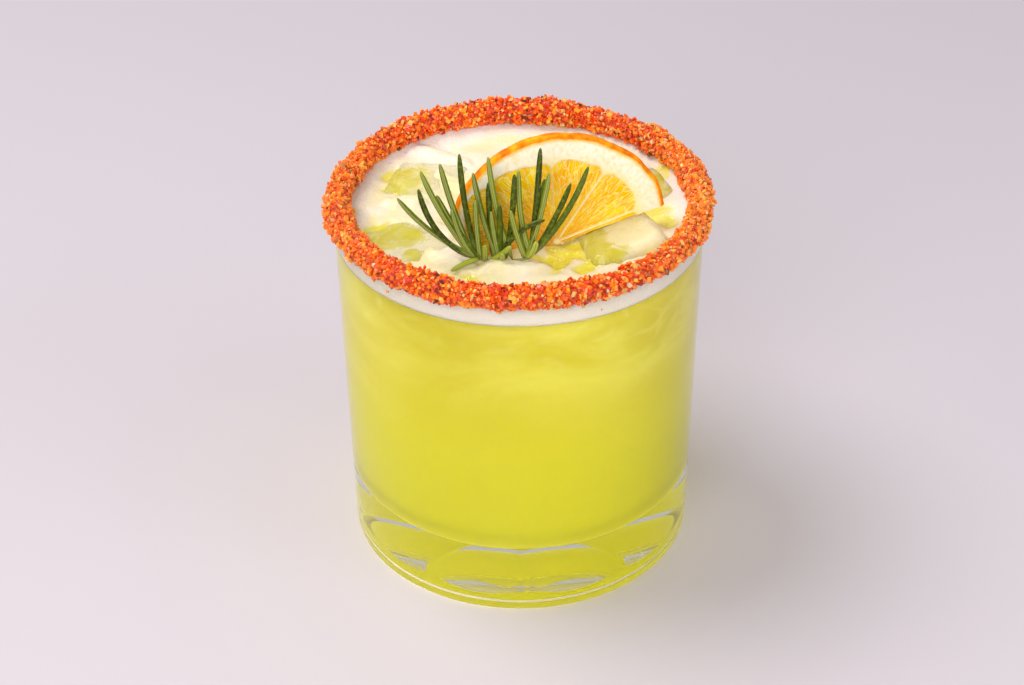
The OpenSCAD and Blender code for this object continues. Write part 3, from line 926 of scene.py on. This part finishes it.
def grainShapes(count, seed):
    # a few cracked crystals, each with flat faces
    shapes = []
    pick = random.Random(seed)
    for index in range(count):
        bm = bmesh.new()
        if index % 4 == 3:
            bmesh.ops.create_icosphere(bm, subdivisions=1, radius=1.0)
        else:
            bmesh.ops.create_cube(bm, size=1.3)
        for vert in bm.verts:
            vert.co = vert.co * pick.uniform(0.7, 1.25)
            vert.co.x *= 1.15
            vert.co.z *= 0.8
        bmesh.ops.delete(bm, geom=bm.edges, context="EDGES_FACES")
        bmesh.ops.convex_hull(bm, input=bm.verts)
        loose = [v for v in bm.verts if not v.link_faces]
        bmesh.ops.delete(bm, geom=loose, context="VERTS")
        bmesh.ops.triangulate(bm, faces=bm.faces)
        bm.verts.index_update()
        shapes.append((np.array([v.co[:] for v in bm.verts]),
                       np.array([[v.index for v in f.verts] for f in bm.faces])))
        bm.free()
    return shapes


def buildGrains(name, places, size, shapes, finish, seed):
    # joins one grain a place into one mesh, with a random shade for each
    pick = random.Random(seed)
    points, faces, shades = [], [], []
    start = 0
    for spot in places:
        shape, tris = pick.choice(shapes)
        turn = Quaternion(Vector((pick.gauss(0, 1), pick.gauss(0, 1), pick.gauss(0, 1))).normalized(),
                          pick.uniform(0, tau)).to_matrix()
        grow = size * (0.6 + 1.1 * pick.random() ** 2.2)
        stretch = np.array([pick.uniform(0.5, 1.0), pick.uniform(0.7, 1.15), pick.uniform(0.9, 1.9)])
        points.append((shape * stretch * grow) @ np.array(turn).T + np.array(spot))
        faces.append(tris + start)
        shades.append(np.full(len(shape), pick.random()))
        start += len(shape)
    mesh = bpy.data.meshes.new(name)
    mesh.from_pydata(np.concatenate(points).tolist(), [], np.concatenate(faces).tolist())
    shade = mesh.attributes.new("shade", "FLOAT", "POINT")
    shade.data.foreach_set("value", np.concatenate(shades))
    return keepMesh(name, mesh, finish)


def rimPlaces(count, seed, deep=0.5, lean=0.0):
    # places on the crust, from deep in it to just proud of it; lean keeps them to the right
    pick = random.Random(seed)
    places = []
    while len(places) < count:
        turn, share = pick.uniform(0, tau), pick.uniform(0.0, 1.0)
        thick = crustThickness(turn, share)
        if thick < pick.uniform(0, 0.8) * mm or pick.random() > 1 - lean * (0.5 - 0.5 * math.cos(turn)):
            continue
        off = thick * (deep + (1.15 - deep) * pick.random()) + max(0, pick.gauss(-0.2, 0.3)) * mm
        off *= min(1, 0.35 + share * 6, 0.35 + (1 - share) * 6)
        places.append(lipPoint(share, turn, off))
    return places


def strayPlaces(count, seed):
    # loose grains just below the crust, inside and outside
    pick = random.Random(seed)
    places = []
    for index in range(count):
        turn, level = pick.uniform(0, tau), pick.uniform(88.5, 92) * mm
        radius = inside(level) - 0.3 * mm if index % 3 else outside(level) + 0.3 * mm
        places.append(Vector((radius * math.cos(turn), radius * math.sin(turn),
                              max(level, 91.6 * mm) if index % 3 else level)))
    return places


def shadeRamp(finish, *stops):
    # each grain has its own shade of the ramp, and all are paler towards both sides
    grit = finish.clouds(finish.place(), 1600, 3)
    side = abs(finish.axis(finish.place(), 0) / mm)
    colour = finish.blend(side.smooth(24, 46) * 0.3, finish.ramp(finish.attribute("shade"), *stops),
                          paint(255, 176, 70))
    finish.feed("Base Color", finish.blend(grit.smooth(0.5, 0.75) * 0.22, colour, stops[0][1]))
    finish.feed("Roughness", 0.1 + 0.4 * grit)


crustRed = Finish("crustRed", Subsurface_Weight=0.15, Subsurface_Radius=(1, 0.3, 0.1),
                  Subsurface_Scale=0.001)
place = crustRed.place()
# partly the crust's own red and partly painted shade: darker towards its cells' edges, so the gaps between
# grains read dark
crustRed.feed("Base Color", crustRed.ramp(crustRed.cells(place, 1400), (0.1, paint(232, 92, 8)),
                                          (0.5, paint(210, 64, 4)), (0.9, paint(140, 30, 2))))
crustRed.feed("Roughness", 0.35 + 0.4 * crustRed.clouds(place, 900, 3))
crustRed.feed("Normal", crustRed.bump(crustRed.cells(place, 1300), 0.0005, 1.0))
grainOrange = Finish("grainOrange", Subsurface_Weight=0.25, Subsurface_Radius=(1, 0.35, 0.1),
                     Subsurface_Scale=0.001)
shadeRamp(grainOrange, (0.0, paint(214, 56, 2)), (0.25, paint(238, 88, 2)), (0.52, paint(252, 116, 4)),
          (0.78, paint(255, 144, 18)), (0.93, paint(255, 178, 70)), (1.0, paint(244, 96, 8)))
grainRed = Finish("grainRed", Subsurface_Weight=0.15, Subsurface_Radius=(1, 0.3, 0.1),
                  Subsurface_Scale=0.001)
shadeRamp(grainRed, (0.0, paint(176, 30, 4)), (0.4, paint(208, 44, 4)), (0.7, paint(228, 62, 6)),
          (1.0, paint(242, 84, 8)))
saltClear = Finish("saltClear", Subsurface_Weight=0.5, Transmission_Weight=0.25, IOR=1.5,
                   Subsurface_Radius=(1, 0.7, 0.5), Subsurface_Scale=0.0012)
shadeRamp(saltClear, (0.0, paint(255, 176, 84)), (0.5, paint(255, 198, 120)), (0.8, paint(255, 184, 70)),
          (1.0, paint(255, 226, 190)))
darkFleck = Finish("darkFleck", Base_Color=paint(120, 26, 10))
shadeRamp(darkFleck, (0.0, paint(70, 18, 8)), (0.5, paint(128, 22, 8)), (1.0, paint(168, 30, 10)))
buildCrust(crustRed)
grainPlaces = rimPlaces(saltSet["grains"], 11) + strayPlaces(saltSet["stray"], 14)
buildGrains("salt_grains_orange", grainPlaces, saltSet["size"], grainShapes(8, 3), grainOrange, 21)
buildGrains("chilli_grains_red", rimPlaces(saltSet["reds"], 15), saltSet["size"],
            grainShapes(8, 6), grainRed, 24)
buildGrains("salt_crystals_pale", rimPlaces(saltSet["crystals"], 12, 0.8, 0.85), saltSet["size"] * 1.1,
            grainShapes(6, 4), saltClear, 22)
buildGrains("chilli_flecks_dark", rimPlaces(saltSet["flecks"], 13, 0.75), saltSet["size"],
            grainShapes(6, 5), darkFleck, 23)
print("chilli salt made")


# ---- floor, lights and camera

def lamp(name, place, aim, size, power, colour=(1, 1, 1)):
    data = bpy.data.lights.new(name, "AREA")
    data.shape = "DISK"
    data.size = size
    data.energy = power
    data.color = colour
    light = bpy.data.objects.new(name, data)
    bpy.context.scene.collection.objects.link(light)
    light.location = place
    light.rotation_mode = "QUATERNION"
    light.rotation_quaternion = (Vector(place) - Vector(aim)).to_track_quat("Z", "Y")


floorPaint = Finish("floorPaint", Roughness=0.55)
place = floorPaint.place()
floorPaint.feed("Base Color", floorPaint.blend(floorPaint.clouds(place, 3, 2), paint(194, 187, 195),
                                               paint(198, 191, 199)))
bm = bmesh.new()
bmesh.ops.create_grid(bm, x_segments=2, y_segments=2, size=4,
                      matrix=Matrix.Translation((0, 0, -0.15 * mm)))  # a hair below the glass's foot
mesh = bpy.data.meshes.new("floor")
bm.to_mesh(mesh)
bm.free()
mesh.materials.append(floorPaint.material)
floor = bpy.data.objects.new("floor", mesh)
bpy.context.scene.collection.objects.link(floor)

world = bpy.data.worlds.new("studio")
world.use_nodes = True
world.node_tree.nodes["Background"].inputs["Color"].default_value = (1.0, 0.97, 0.985, 1)
world.node_tree.nodes["Background"].inputs["Strength"].default_value = 0.47
bpy.context.scene.world = world
middle = (0, 0, 0.06)
lamp("keyLamp", (-0.45, 0.1, 1.0), middle, 0.6, 8, (1.0, 0.97, 0.94))
lamp("fillLamp", (-0.3, -1.0, 0.65), middle, 0.8, 8.5)
lamp("sideLamp", (0.85, -0.45, 0.5), middle, 0.6, 3)

cameraSet = {"distance": 0.6, "elevation": 34.65, "lens": 83.57, "roll": -0.43,
             "shiftX": -0.0079, "shiftY": 0.0139}
data = bpy.data.cameras.new("camera")
data.lens = cameraSet["lens"]
data.sensor_width = 36
data.shift_x = cameraSet["shiftX"]
data.shift_y = cameraSet["shiftY"]
data.clip_start = 0.01
camera = bpy.data.objects.new("camera", data)
bpy.context.scene.collection.objects.link(camera)
rise = math.radians(cameraSet["elevation"])
back = Vector((0, -math.cos(rise), math.sin(rise)))
camera.location = Vector((0, 0, rimHeight / 2)) + back * cameraSet["distance"]
camera.rotation_mode = "QUATERNION"
camera.rotation_quaternion = (back.to_track_quat("Z", "Y")
                              @ Quaternion((0, 0, 1), math.radians(cameraSet["roll"])))
bpy.context.scene.camera = camera
bpy.context.scene.view_settings.view_transform = "Standard"
print("studio ready")
